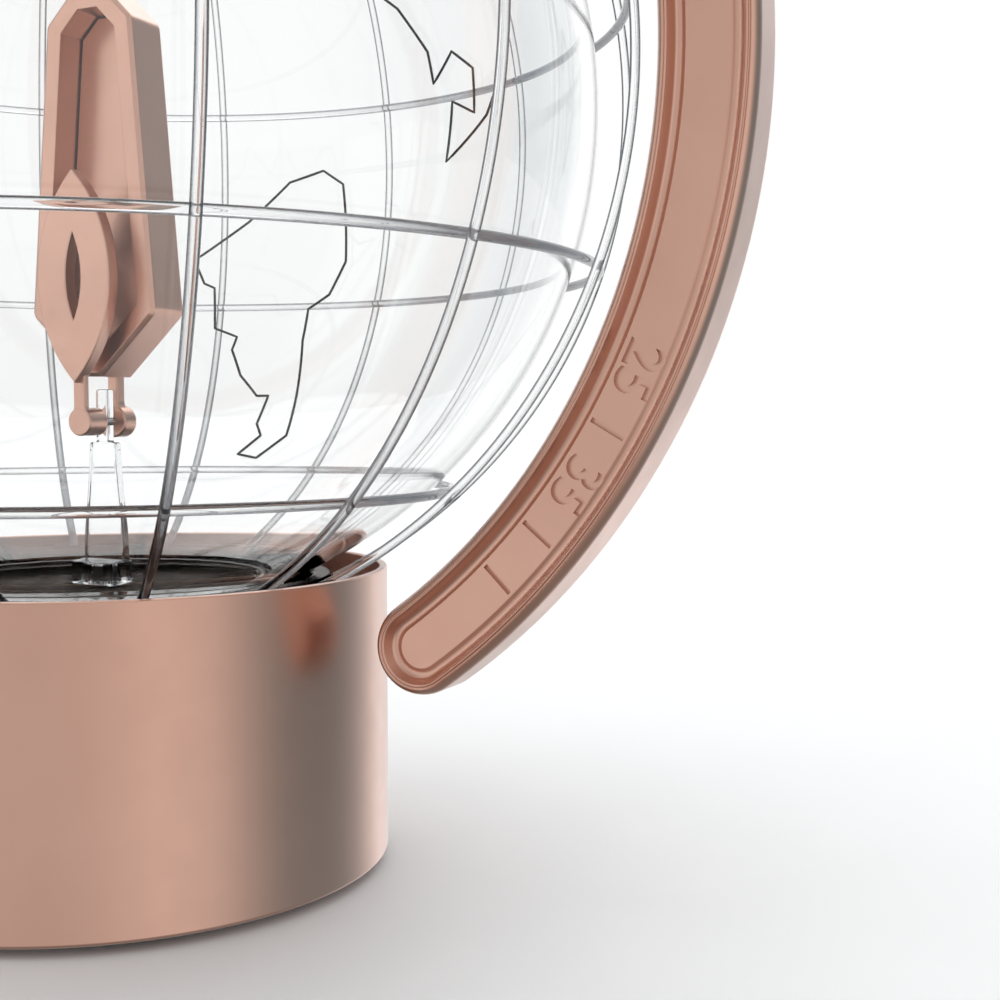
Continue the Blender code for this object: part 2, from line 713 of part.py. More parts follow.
def make_emblem():
    """A deep six-sided frame behind, an oval leaf in front, and the pin that joins them to the pedestal."""
    frame = plate("emblem_frame", frame_outline(0.0), FRAME_FRONT_Y, FRAME_BACK_Y, "rose_gold", 0.5 * MM)
    pocket_back = FRAME_FRONT_Y + FRAME_POCKET_DEPTH
    pocket = plate("cut_frame_pocket", frame_outline(FRAME_BAND), FRAME_FRONT_Y - 1 * MM, pocket_back)
    boolean(frame, pocket)
    neck = [
        (FRAME_NECK_HALF, FRAME_TIP_Z + 3 * MM),
        (-FRAME_NECK_HALF, FRAME_TIP_Z + 3 * MM),
        (-FRAME_NECK_HALF, PIN_Z + 1.5 * MM),
        (FRAME_NECK_HALF, PIN_Z + 1.5 * MM),
    ]
    boolean(frame, plate("frame_neck", neck, REAR_KNUCKLE[0] + 0.1 * MM, FRAME_NECK_BACK_Y), "UNION")
    barrel, hole = knuckle("rear_knuckle", *REAR_KNUCKLE, REAR_KNUCKLE_RADIUS)
    boolean(frame, barrel, "UNION")
    boolean(frame, hole)
    panel_back = pocket_back - GAP
    plate("emblem_panel", frame_outline(FRAME_BAND + GAP), panel_back - 1.0 * MM, panel_back, "rose_gold")
    make_petal()
    end_gap = KNUCKLE_END_WALL + 0.4 * MM
    pin_front, pin_back = FRONT_KNUCKLE[0] + end_gap, REAR_KNUCKLE[1] - end_gap
    cylinder("hinge_pin", PIN_RADIUS, (0, pin_front, PIN_Z), (0, pin_back, PIN_Z), 16, "bright_steel")


def leaf(half_width, half_height, steps):
    """A pointed oval of two arcs, as (x, z) points."""
    radius = (half_height**2 + half_width**2) / (2 * half_width)
    reach = math.degrees(math.asin(half_height / radius))
    right = arc(radius, -reach, reach, steps, PETAL_CENTRE_Z, half_width - radius)
    left = arc(radius, 180 - reach, 180 + reach, steps, PETAL_CENTRE_Z, radius - half_width)
    return right[:-1] + left[:-1]


def make_petal():
    petal_back = PETAL_FRONT_Y + PETAL_THICKNESS
    petal = plate(
        "emblem_petal",
        leaf(PETAL_HALF_WIDTH, PETAL_HALF_HEIGHT, 14),
        PETAL_FRONT_Y,
        petal_back,
        "rose_gold",
        0.4 * MM,
    )
    slot = leaf(SLOT_HALF_WIDTH, SLOT_HALF_HEIGHT, 8)
    boolean(petal, plate("cut_petal_slot", slot, PETAL_FRONT_Y - 1 * MM, petal_back + 1 * MM))
    neck_half = 1.5 * MM
    neck = [
        (neck_half, PETAL_CENTRE_Z - PETAL_HALF_HEIGHT + 4 * MM),
        (-neck_half, PETAL_CENTRE_Z - PETAL_HALF_HEIGHT + 4 * MM),
        (-neck_half, PIN_Z + 1.5 * MM),
        (neck_half, PIN_Z + 1.5 * MM),
    ]
    boolean(petal, plate("petal_neck", neck, FRONT_KNUCKLE[0] + 0.1 * MM, petal_back - 0.2 * MM), "UNION")
    barrel, hole = knuckle("front_knuckle", FRONT_KNUCKLE[1], FRONT_KNUCKLE[0], FRONT_KNUCKLE_RADIUS)
    boolean(petal, barrel, "UNION")
    boolean(petal, hole)


make_base()
make_underside()
make_cage()
make_globe()
make_pivot()
make_arm()
make_pedestal()
make_emblem()
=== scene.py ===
"""The looks of the clear globe ornament: fine meshes, materials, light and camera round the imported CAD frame.

Metres, +Z up, in the CAD model's own frame. The arm rests in the XZ plane and the emblem faces -Y.
"""

import json
import math

import bmesh
import bpy
from mathutils import Matrix, Vector


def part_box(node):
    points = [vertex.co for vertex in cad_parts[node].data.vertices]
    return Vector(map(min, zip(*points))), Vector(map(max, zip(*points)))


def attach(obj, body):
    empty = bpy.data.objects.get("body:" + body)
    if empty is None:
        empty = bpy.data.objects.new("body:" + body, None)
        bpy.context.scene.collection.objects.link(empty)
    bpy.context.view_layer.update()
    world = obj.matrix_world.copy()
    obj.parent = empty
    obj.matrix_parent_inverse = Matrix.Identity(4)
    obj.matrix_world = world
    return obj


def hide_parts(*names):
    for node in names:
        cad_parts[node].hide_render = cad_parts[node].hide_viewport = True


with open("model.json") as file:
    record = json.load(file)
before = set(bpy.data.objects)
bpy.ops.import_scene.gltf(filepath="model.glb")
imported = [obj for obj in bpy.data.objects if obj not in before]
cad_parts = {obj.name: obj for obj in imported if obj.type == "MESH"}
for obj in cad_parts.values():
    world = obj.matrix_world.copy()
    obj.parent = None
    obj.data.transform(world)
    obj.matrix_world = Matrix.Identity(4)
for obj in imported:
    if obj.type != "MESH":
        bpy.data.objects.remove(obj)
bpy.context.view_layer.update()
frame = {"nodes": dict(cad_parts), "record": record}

MM = 0.001
EQUATOR_STEPS = 192
SMALL_STEPS = 64
# How far inside a flat its rounded edge's extra loop lies, which keeps the flat's shading flat
HOLD = 0.04 * MM

# Sizes read from the CAD nodes
BASE_LOW, BASE_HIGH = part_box("base_shell")
HUB_LOW, HUB_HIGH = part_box("cage_top_hub")
DECK_LOW, DECK_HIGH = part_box("deck_disc")
EMBLEM_LOW, EMBLEM_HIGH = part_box("emblem_frame")
PEDESTAL_LOW, PEDESTAL_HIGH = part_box("pedestal")
BOSS_TOP_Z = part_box("meridian_arm")[1].z
GLASS_TOP_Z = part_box("globe_glass")[1].z
PETAL_FRONT_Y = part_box("emblem_petal")[0].y

BASE_RADIUS = BASE_HIGH.x
RIM_Z = BASE_HIGH.z
FLOOR_Z = RIM_Z - 7.0 * MM
FLOOR_THICKNESS = 3.0 * MM
BASE_WALL = 3.0 * MM
RIM_WALL = 1.6 * MM
BOLT_HOLE_RADIUS = 2.3 * MM
FOOT_RING_BORE = 42.0 * MM
FOOT_RING_GAP = 0.3 * MM

CENTRE_Z = RIM_Z + 95.3 * MM

ARM_OUTER = 135.7 * MM
ARM_INNER = 118.5 * MM
ARM_HALF = 6.8 * MM
ARM_END_LATITUDE = -54.0
BOSS_PROUD = 1.0 * MM
ARM_CENTRE_Z = BOSS_TOP_Z - BOSS_PROUD - ARM_OUTER
BOSS_BOTTOM_Z = ARM_CENTRE_Z + ARM_INNER - BOSS_PROUD
BOSS_RADIUS = 7.5 * MM
BUSH_HOLE_RADIUS = 3.0 * MM
SPINDLE_HOLE_RADIUS = 2.1 * MM
PIVOT_PIN_HOLE_RADIUS = 1.6 * MM
PIVOT_HOLE_DEPTH = 3.4 * MM
FINIAL_RADIUS = 6.5 * MM

GLOBE_RADIUS = 100.0 * MM
GLASS_THICKNESS = 2.0 * MM
MOUTH_LATITUDE = -69.5
TOP_HOLE_RADIUS = 6.0 * MM
GLOBE_Z = GLASS_TOP_Z - math.sqrt(GLOBE_RADIUS**2 - TOP_HOLE_RADIUS**2)

CAGE_RADIUS = 109.0 * MM
ROD_RADIUS = 0.95 * MM
ROD_COUNT = 14
FIRST_ROD_LONGITUDE = -17.8
ROD_FOOT_LATITUDE = -64.5
ROD_TOP_LATITUDE = 84.0
PARALLEL_RADIUS = CAGE_RADIUS - 2 * ROD_RADIUS - 0.3 * MM
PARALLEL_COUNT = 5

PIN_Z = CENTRE_Z - 66.0 * MM
PIN_HOLE_RADIUS = 0.75 * MM
TAB_HOLE_RADIUS = 0.8 * MM
FRONT_BARREL = (-6.2 * MM, -0.7 * MM)
FRONT_BARREL_RADIUS = 2.8 * MM
REAR_BARREL = (4.0 * MM, 7.8 * MM)
REAR_BARREL_RADIUS = 3.25 * MM
BARREL_END_WALL = 0.9 * MM
TIP_Z = CENTRE_Z - 57.0 * MM
TIP_HALF_WIDTH = 2.0 * MM
FRAME_BAND = 4.0 * MM
FRAME_POCKET_DEPTH = 7.5 * MM
FRAME_CHAMFER = 0.7 * MM
PETAL_CENTRE_Z = CENTRE_Z - 37.5 * MM
PETAL_THICKNESS = 3.0 * MM


# ---------------------------------------------------------------- outlines and meshes


def smooth_path(points, per_span=6):
    """A Catmull-Rom curve through the points, which it passes through."""
    ends = [points[0], *points, points[-1]]
    path = []
    for i in range(1, len(ends) - 2):
        p0, p1, p2, p3 = (Vector(p) for p in ends[i - 1 : i + 3])
        for k in range(per_span):
            t = k / per_span
            bend = 2 * p0 - 5 * p1 + 4 * p2 - p3
            twist = 3 * p1 - p0 - 3 * p2 + p3
            path.append(0.5 * (2 * p1 + (p2 - p0) * t + bend * t**2 + twist * t**3))
    path.append(Vector(points[-1]))
    return [tuple(p) for p in path]


def filleted(corners, steps=5, closed=True):
    """An outline of (x, z, fillet radius) corners with each corner rounded by an arc."""
    points = []
    last = len(corners) - 1
    for i, (x, z, radius) in enumerate(corners):
        here = Vector((x, z))
        if radius == 0 or (not closed and i in (0, last)):
            points.append((x, z))
            continue
        before = (Vector(corners[i - 1][:2]) - here).normalized()
        after = (Vector(corners[0 if i == last else i + 1][:2]) - here).normalized()
        half = before.angle(after) / 2
        centre = here + (before + after).normalized() * radius / math.sin(half)
        start = here + before * radius / math.tan(half) - centre
        end = here + after * radius / math.tan(half) - centre
        first = math.atan2(start.y, start.x)
        turn = (math.atan2(end.y, end.x) - first + math.pi) % (2 * math.pi) - math.pi
        for k in range(steps + 1):
            angle = first + turn * k / steps
            points.append((centre.x + radius * math.cos(angle), centre.y + radius * math.sin(angle)))
    return points


def arc(radius, first, last, steps, centre=(0.0, 0.0)):
    """(x, z) points along an arc, angles in degrees from +X towards +Z."""
    angles = [math.radians(first + (last - first) * i / steps) for i in range(steps + 1)]
    return [(centre[0] + radius * math.cos(a), centre[1] + radius * math.sin(a)) for a in angles]


def sphere_point(radius, latitude, centre_z):
    """(distance from the axis, z) of a point on a sphere."""
    angle = math.radians(latitude)
    return radius * math.cos(angle), centre_z + radius * math.sin(angle)


def new_object(name, bm, sharp=40.0):
    """A smooth-shaded object from a bmesh, with edges over the sharp angle kept sharp."""
    bmesh.ops.remove_doubles(bm, verts=bm.verts, dist=1e-7)
    bmesh.ops.recalc_face_normals(bm, faces=bm.faces)
    mesh = bpy.data.meshes.new(name)
    bm.to_mesh(mesh)
    bm.free()
    mesh.shade_smooth()
    mesh.set_sharp_from_angle(angle=math.radians(sharp))
    obj = bpy.data.objects.new(name, mesh)
    bpy.context.scene.collection.objects.link(obj)
    return obj


def skinned(loops, closed=False, caps=False):
    """A bmesh through loops of 3D points that all have the same count."""
    bm = bmesh.new()
    rings = [[bm.verts.new(p) for p in loop] for loop in loops]
    pairs = list(zip(rings, rings[1:]))
    if closed:
        pairs.append((rings[-1], rings[0]))
    for low, high in pairs:
        for k, vert in enumerate(low):
            after = (k + 1) % len(low)
            bm.faces.new((vert, low[after], high[after], high[k]))
    if caps:
        bm.faces.new(rings[0])
        bm.faces.new(list(reversed(rings[-1])))
    return bm


def lathe(name, profile, steps=EQUATOR_STEPS, closed=True, sharp=40.0):
    """A turned piece from (radius, z) points. An open profile starts and ends on the axis."""
    turns = [2 * math.pi * i / steps for i in range(steps)]
    loops = [[(r * math.cos(t), r * math.sin(t), z) for t in turns] for r, z in profile]
    return new_object(name, skinned(loops, closed=closed), sharp)


def slab(name, outline, section, closed=False, sharp=40.0):
    """A piece whose edge follows (inset, y) points round outline(inset), a list of (x, z) points."""
    loops = [[(x, y, z) for x, z in outline(inset)] for inset, y in section]
    return new_object(name, skinned(loops, closed=closed, caps=not closed), sharp)


def applied(obj):
    """Bakes an object's modifiers into its mesh."""
    graph = bpy.context.evaluated_depsgraph_get()
    mesh = bpy.data.meshes.new_from_object(obj.evaluated_get(graph))
    obj.modifiers.clear()
    obj.data = mesh
    return obj


def cut(obj, other, operation="DIFFERENCE"):
    """Joins other to obj or cuts it out, and removes other."""
    modifier = obj.modifiers.new("Boolean", "BOOLEAN")
    modifier.operation = operation
    modifier.object = other
    modifier.solver = "EXACT"
    bpy.context.view_layer.update()
    applied(obj)
    bpy.data.objects.remove(other)
    return obj


def shade(obj, sharp=40.0):
    obj.data.shade_smooth()
    obj.data.set_sharp_from_angle(angle=math.radians(sharp))
    return obj


# ---------------------------------------------------------------- materials


def shader_of(name):
    """A new material, its node tree and its Principled shader."""
    made = bpy.data.materials.new(name)
    made.use_nodes = True
    return made, made.node_tree, made.node_tree.nodes["Principled BSDF"]


def node(tree, kind, **settings):
    made = tree.nodes.new(kind)
    for key, value in settings.items():
        setattr(made, key, value)
    return made


def noise(tree, scale, detail=3.0, stretch=(1, 1, 1)):
    """A noise pattern in the object's own coordinates, as a value from 0 to 1."""
    place = node(tree, "ShaderNodeTexCoord")
    mapping = node(tree, "ShaderNodeMapping")
    mapping.inputs["Scale"].default_value = stretch
    pattern = node(tree, "ShaderNodeTexNoise")
    pattern.inputs["Scale"].default_value = scale
    pattern.inputs["Detail"].default_value = detail
    tree.links.new(place.outputs["Object"], mapping.inputs["Vector"])
    tree.links.new(mapping.outputs["Vector"], pattern.inputs["Vector"])
    return pattern.outputs["Fac"]


def spread(tree, value, low, high):
    """Maps the middle of a noise value's range to low..high."""
    ranged = node(tree, "ShaderNodeMapRange")
    ranged.inputs["From Min"].default_value = 0.3
    ranged.inputs["From Max"].default_value = 0.7
    ranged.inputs["To Min"].default_value = low
    ranged.inputs["To Max"].default_value = high
    tree.links.new(value, ranged.inputs["Value"])
    return ranged.outputs["Result"]


def tinted(tree, value, first, second):
    """A colour between two, picked by a noise value."""
    ramp = node(tree, "ShaderNodeValToRGB")
    ramp.color_ramp.elements[0].position = 0.3
    ramp.color_ramp.elements[0].color = (*first, 1)
    ramp.color_ramp.elements[1].position = 0.7
    ramp.color_ramp.elements[1].color = (*second, 1)
    tree.links.new(value, ramp.inputs["Fac"])
    return ramp.outputs["Color"]


def bump(tree, shader, value, depth, strength=1.0):
    bumped = node(tree, "ShaderNodeBump")
    bumped.inputs["Strength"].default_value = strength
    bumped.inputs["Distance"].default_value = depth
    tree.links.new(value, bumped.inputs["Height"])
    tree.links.new(bumped.outputs["Normal"], shader.inputs["Normal"])


def rose_gold():
    """Satin anodised aluminium: a soft sheen with a very fine blasted grain and faint cloudy variation."""
    made, tree, shader = shader_of("rose_gold")
    colour = tinted(tree, noise(tree, 28.0, 4.0), (0.600, 0.325, 0.235), (0.655, 0.368, 0.272))
    tree.links.new(colour, shader.inputs["Base Color"])
    tree.links.new(spread(tree, noise(tree, 160.0, 5.0), 0.29, 0.35), shader.inputs["Roughness"])
    shader.inputs["Metallic"].default_value = 1.0
    shader.inputs["Coat Weight"].default_value = 0.85
    shader.inputs["Coat Roughness"].default_value = 0.30
    shader.inputs["Coat IOR"].default_value = 1.8
    bump(tree, shader, noise(tree, 3800.0, 2.0), 0.0012 * MM)
    return made


def clear_acrylic(name, painted_edge_shade, edge_start, edge_end, ripple):
    """Polished acrylic, with painted shade: its colour darkens towards grazing angles, standing in for the dark
    edges that reflections give.
    """
    made, tree, shader = shader_of(name)
    # Painted edge shade: the colour turns darker where the surface turns away from the view
    facing = node(tree, "ShaderNodeLayerWeight")
    facing.inputs["Blend"].default_value = 0.5
    ramp = node(tree, "ShaderNodeValToRGB")
    ramp.color_ramp.elements[0].position = edge_start
    ramp.color_ramp.elements[0].color = (0.985, 0.99, 0.99, 1)
    ramp.color_ramp.elements[1].position = edge_end
    ramp.color_ramp.elements[1].color = (*painted_edge_shade, 1)
    tree.links.new(facing.outputs["Facing"], ramp.inputs["Fac"])
    tree.links.new(ramp.outputs["Color"], shader.inputs["Base Color"])
    tree.links.new(spread(tree, noise(tree, 60.0), 0.0, 0.015), shader.inputs["Roughness"])
    shader.inputs["IOR"].default_value = 1.49
    shader.inputs["Transmission Weight"].default_value = 1.0
    bump(tree, shader, noise(tree, 35.0, 1.0), ripple)
    return made


def dark_gloss():
    """Polished black enamel with faint wiping marks, still dark at grazing angles."""
    made, tree, shader = shader_of("dark_gloss")
    colour = tinted(tree, noise(tree, 40.0, 4.0), (0.040, 0.034, 0.031), (0.070, 0.060, 0.054))
    tree.links.new(colour, shader.inputs["Base Color"])
    tree.links.new(spread(tree, noise(tree, 90.0, 5.0), 0.05, 0.14), shader.inputs["Roughness"])
    shader.inputs["Metallic"].default_value = 1.0
    shader.inputs["Specular Tint"].default_value = (0.16, 0.15, 0.145, 1)
    return made


def rubber():
    made, tree, shader = shader_of("black_rubber")
    colour = tinted(tree, noise(tree, 200.0), (0.016, 0.016, 0.016), (0.030, 0.029, 0.028))
    tree.links.new(colour, shader.inputs["Base Color"])
    tree.links.new(spread(tree, noise(tree, 500.0), 0.70, 0.90), shader.inputs["Roughness"])
    bump(tree, shader, noise(tree, 2500.0), 0.03 * MM)
    return made


def iron():
    """Blacked cast iron with the casting's grain."""
    made, tree, shader = shader_of("cast_iron")
    colour = tinted(tree, noise(tree, 120.0, 5.0), (0.055, 0.055, 0.060), (0.130, 0.125, 0.125))
    tree.links.new(colour, shader.inputs["Base Color"])
    tree.links.new(spread(tree, noise(tree, 300.0), 0.50, 0.72), shader.inputs["Roughness"])
    shader.inputs["Metallic"].default_value = 1.0
    bump(tree, shader, noise(tree, 900.0, 4.0), 0.08 * MM)
    return made


def steel():
    """Bright turned steel, with fine rings along its axis."""
    made, tree, shader = shader_of("bright_steel")
    colour = tinted(tree, noise(tree, 90.0), (0.52, 0.52, 0.54), (0.66, 0.66, 0.68))
    tree.links.new(colour, shader.inputs["Base Color"])
    tree.links.new(spread(tree, noise(tree, 400.0, 3.0, (1, 1, 12)), 0.16, 0.30), shader.inputs["Roughness"])
    shader.inputs["Metallic"].default_value = 1.0
    bump(tree, shader, noise(tree, 600.0, 2.0, (1, 1, 12)), 0.006 * MM)
    return made


def nylon():
    made, tree, shader = shader_of("white_nylon")
    colour = tinted(tree, noise(tree, 150.0), (0.76, 0.75, 0.72), (0.84, 0.83, 0.80))
    tree.links.new(colour, shader.inputs["Base Color"])
    tree.links.new(spread(tree, noise(tree, 400.0), 0.38, 0.52), shader.inputs["Roughness"])
    bump(tree, shader, noise(tree, 1500.0), 0.01 * MM)
    return made


def pale_floor():
    made, tree, shader = shader_of("pale_floor")
    colour = tinted(tree, noise(tree, 3.0), (0.90, 0.90, 0.90), (0.93, 0.93, 0.93))
    tree.links.new(colour, shader.inputs["Base Color"])
    tree.links.new(spread(tree, noise(tree, 40.0), 0.60, 0.75), shader.inputs["Roughness"])
    return made


ROSE_GOLD = rose_gold()
# Each clear finish carries painted edge shade: darkest on the rods, lighter on the blocks and the shell
CLEAR_ROD = clear_acrylic("clear_rod", (0.09, 0.09, 0.10), 0.05, 0.32, 0.02 * MM)
CLEAR_SHELL = clear_acrylic("clear_shell", (0.62, 0.62, 0.61), 0.80, 1.0, 0.01 * MM)
CLEAR_BLOCK = clear_acrylic("clear_block", (0.45, 0.45, 0.45), 0.45, 0.90, 0.01 * MM)
DARK_GLOSS = dark_gloss()
FINISHES = {
    "rose_gold": ROSE_GOLD,
    "clear_acrylic": CLEAR_BLOCK,
    "dark_gloss": DARK_GLOSS,
    "black_rubber": rubber(),
    "cast_iron": iron(),
    "bright_steel": steel(),
    "white_nylon": nylon(),
}


def fit(obj, body, slot, nodes=(), finish=None):
    """Gives a piece its material, and puts it on its body in place of the CAD nodes that it stands for."""
    obj.data.materials.clear()
    obj.data.materials.append(finish or FINISHES[slot])
    obj.modifiers.new("Flat faces", "WEIGHTED_NORMAL").keep_sharp = True
    bpy.context.view_layer.update()
    applied(obj)
    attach(obj, body)
    if nodes:
        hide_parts(*nodes)
    return obj


# ---------------------------------------------------------------- base


def make_base():
    """The turned shell with its bevelled rim and recess, and the rings and disc in the recess."""
    inside = BASE_RADIUS - BASE_WALL
    recess = BASE_RADIUS - RIM_WALL
    under_floor = FLOOR_Z - FLOOR_THICKNESS
    shell = lathe(
        "base_wall",
        filleted(
            [
                (BASE_RADIUS, RIM_Z, 0.45 * MM),
                (BASE_RADIUS, BASE_LOW.z, 0.8 * MM),
                (inside, BASE_LOW.z, 0.3 * MM),
                (inside, under_floor, 1.0 * MM),
                (BOLT_HOLE_RADIUS, under_floor, 0.0),
                (BOLT_HOLE_RADIUS, FLOOR_Z, 0.0),
                (recess, FLOOR_Z, 0.8 * MM),
                (recess, RIM_Z, 0.4 * MM),
            ]
        ),
        256,
    )
    fit(shell, "base", "rose_gold", ["base_shell"])
    deck = lathe(
        "deck_plate",
        filleted(
            [
                (DECK_HIGH.x, DECK_HIGH.z, 0.5 * MM),
                (DECK_HIGH.x, DECK_LOW.z, 0.1 * MM),
                (BOLT_HOLE_RADIUS, DECK_LOW.z, 0.0),
                (BOLT_HOLE_RADIUS, DECK_HIGH.z, 0.0),
            ]
        ),
    )
    fit(deck, "base", "dark_gloss", ["deck_disc"])
    make_foot_ring()


def make_foot_ring():
    """The black ring that the rods end on; its outer side is square to them."""
    latitude = math.radians(ROD_FOOT_LATITUDE)
    along = Vector((math.sin(latitude), -math.cos(latitude)))
    face = Vector(sphere_point(CAGE_RADIUS, ROD_FOOT_LATITUDE, CENTRE_Z)) + along * FOOT_RING_GAP
    slope = along[1] / along[0]
    low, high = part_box("cage_foot_ring")
    ring = lathe(
        "foot_ring",
        filleted(
            [
                (face[0] - (high.z - face[1]) * slope, high.z, 0.3 * MM),
                (face[0] - (low.z - face[1]) * slope, low.z, 0.1 * MM),
                (FOOT_RING_BORE, low.z, 0.1 * MM),
                (FOOT_RING_BORE, high.z, 1.2 * MM),
            ]
        ),
    )
    fit(ring, "base", "dark_gloss", ["cage_foot_ring"])


# ---------------------------------------------------------------- cage


def make_cage():
    """Clear rods along the meridians, and clear rings just inside them."""
    across, along = 20, 120
    loops = []
    for j in range(along + 1):
        latitude = ROD_FOOT_LATITUDE + (ROD_TOP_LATITUDE - ROD_FOOT_LATITUDE) * j / along
        angle = math.radians(latitude)
        out = Vector((math.cos(angle), 0, math.sin(angle)))
        centre = out * CAGE_RADIUS + Vector((0, 0, CENTRE_Z))
        turns = [2 * math.pi * k / across for k in range(across)]
        spokes = [out * math.cos(t) + Vector((0, 1, 0)) * math.sin(t) for t in turns]
        loops.append([centre + spoke * ROD_RADIUS for spoke in spokes])
    rod = new_object("cage_rod_01", skinned(loops, caps=True))
    rods = [rod]
    for i in range(1, ROD_COUNT):
        copy = bpy.data.objects.new(f"cage_rod_{i + 1:02d}", rod.data)
        bpy.context.scene.collection.objects.link(copy)
        rods.append(copy)
    for i, obj in enumerate(rods):
        obj.rotation_euler.z = math.radians(FIRST_ROD_LONGITUDE - 360.0 * i / ROD_COUNT)
        fit(obj, "base", "clear_acrylic", [f"cage_meridian_{i + 1:02d}"], CLEAR_ROD)
    for i in range(PARALLEL_COUNT):
        low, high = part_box(f"cage_parallel_{i + 1}")
        z = (low.z + high.z) / 2
        radius = math.sqrt(PARALLEL_RADIUS**2 - (z - CENTRE_Z) ** 2)
        section = arc(ROD_RADIUS, 360, 360 / across, across - 1, (radius, z))
        ring = lathe(f"cage_ring_{i + 1}", section, 256)
        fit(ring, "base", "clear_acrylic", [f"cage_parallel_{i + 1}"], CLEAR_ROD)


def make_hub():
    """The hub, the collar under the arm and the finial on top of it, all turned."""
    hole = SPINDLE_HOLE_RADIUS
    hub = lathe(
        "top_hub",
        filleted(
            [
                (0.0, HUB_HIGH.z - PIVOT_HOLE_DEPTH, 0.0),
                (hole, HUB_HIGH.z - PIVOT_HOLE_DEPTH, 0.0),
                (hole, HUB_HIGH.z, 0.3 * MM),
                (HUB_HIGH.x, HUB_HIGH.z, 1.0 * MM),
                (HUB_HIGH.x, HUB_LOW.z, 1.0 * MM),
                (PIVOT_PIN_HOLE_RADIUS, HUB_LOW.z, 0.2 * MM),
                (PIVOT_PIN_HOLE_RADIUS, HUB_LOW.z + PIVOT_HOLE_DEPTH, 0.0),
                (0.0, HUB_LOW.z + PIVOT_HOLE_DEPTH, 0.0),
            ],
            closed=False,
        ),
        SMALL_STEPS,
        closed=False,
    )
    fit(hub, "base", "rose_gold", ["cage_top_hub"])
    low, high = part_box("spacer_collar")
    collar = lathe(
        "arm_collar",
        filleted(
            [
                (high.x, high.z, 0.4 * MM),
                (high.x, low.z, 0.4 * MM),
                (hole, low.z, 0.1 * MM),
                (hole, high.z, 0.1 * MM),
            ]
        ),
        SMALL_STEPS,
    )
    fit(collar, "base", "rose_gold", ["spacer_collar"])
    low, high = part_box("arm_washer")
    washer = lathe(
        "arm_thrust_washer",
        filleted(
            [
                (high.x, high.z, 0.2 * MM),
                (high.x, low.z, 0.2 * MM),
                (hole, low.z, 0.1 * MM),
                (hole, high.z, 0.1 * MM),
            ]
        ),
        SMALL_STEPS,
    )
    fit(washer, "base", "bright_steel", ["arm_washer"])
    low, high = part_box("finial_nut")
    ball = arc(FINIAL_RADIUS, 90, -43, 24, (0.0, high.z - FINIAL_RADIUS))
    hole_top = low.z + 5.4 * MM
    foot = [(4.9 * MM, low.z + 0.4 * MM), (4.6 * MM, low.z), (hole, low.z)]
    finial = lathe(
        "finial",
        [*ball, *foot, (hole, hole_top), (0.0, hole_top)],
        SMALL_STEPS,
        closed=False,
    )
    fit(finial, "base", "rose_gold", ["finial_nut"])


# ---------------------------------------------------------------- globe

# Simplified land outlines, (longitude, latitude) in degrees. They are drawn narrower and lower than life,
# turned round the axis and shifted down, about a latitude that stays in place
LANDS = {
    "south_west": (
        (-78, 8), (-72, 11), (-62, 9), (-50, 1), (-35, -7), (-38, -12), (-41, -13), (-42, -22),
        (-49, -24), (-48, -27), (-52, -33), (-59, -38), (-63, -38), (-62, -45), (-65, -48), (-59, -53),
        (-67, -54), (-71, -51), (-75, -48), (-73, -38), (-70, -25), (-70, -18), (-76, -15), (-80, -8),
        (-79, 1),
    ),
    "north_west": (
        (-165, 62), (-155, 71), (-125, 70), (-95, 72), (-82, 67), (-94, 59), (-80, 52), (-76, 62),
        (-58, 55), (-66, 45), (-74, 40), (-81, 31), (-81, 25), (-90, 30), (-97, 26), (-95, 18), (-87, 21),
        (-83, 10), (-100, 17), (-110, 25), (-118, 34), (-124, 45), (-135, 58), (-152, 59),
    ),
    "middle": (
        (-17, 15), (-10, 30), (-5, 36), (10, 37), (20, 31), (32, 31), (37, 21), (43, 12), (51, 11),
        (41, -3), (40, -15), (33, -26), (26, -34), (18, -34), (12, -17), (9, 2), (-8, 5),
    ),
    "east": (
        (-9, 39), (-1, 47), (8, 54), (10, 64), (25, 71), (45, 67), (70, 73), (105, 77), (140, 72),
        (175, 68), (162, 59), (143, 54), (130, 42), (121, 38), (121, 28), (108, 20), (105, 9), (98, 15),
        (88, 22), (79, 9), (72, 20), (58, 25), (52, 15), (43, 14), (35, 29), (27, 37), (22, 38), (14, 41),
        (3, 42),
    ),
}
LAND_TURN = 160.4
LAND_WIDTH = 0.57
LAND_HEIGHT = 0.75
LAND_PIN_LATITUDE = -18.4
LAND_SHIFT = -1.1
LAND_LINE_RADIUS = 0.32 * MM


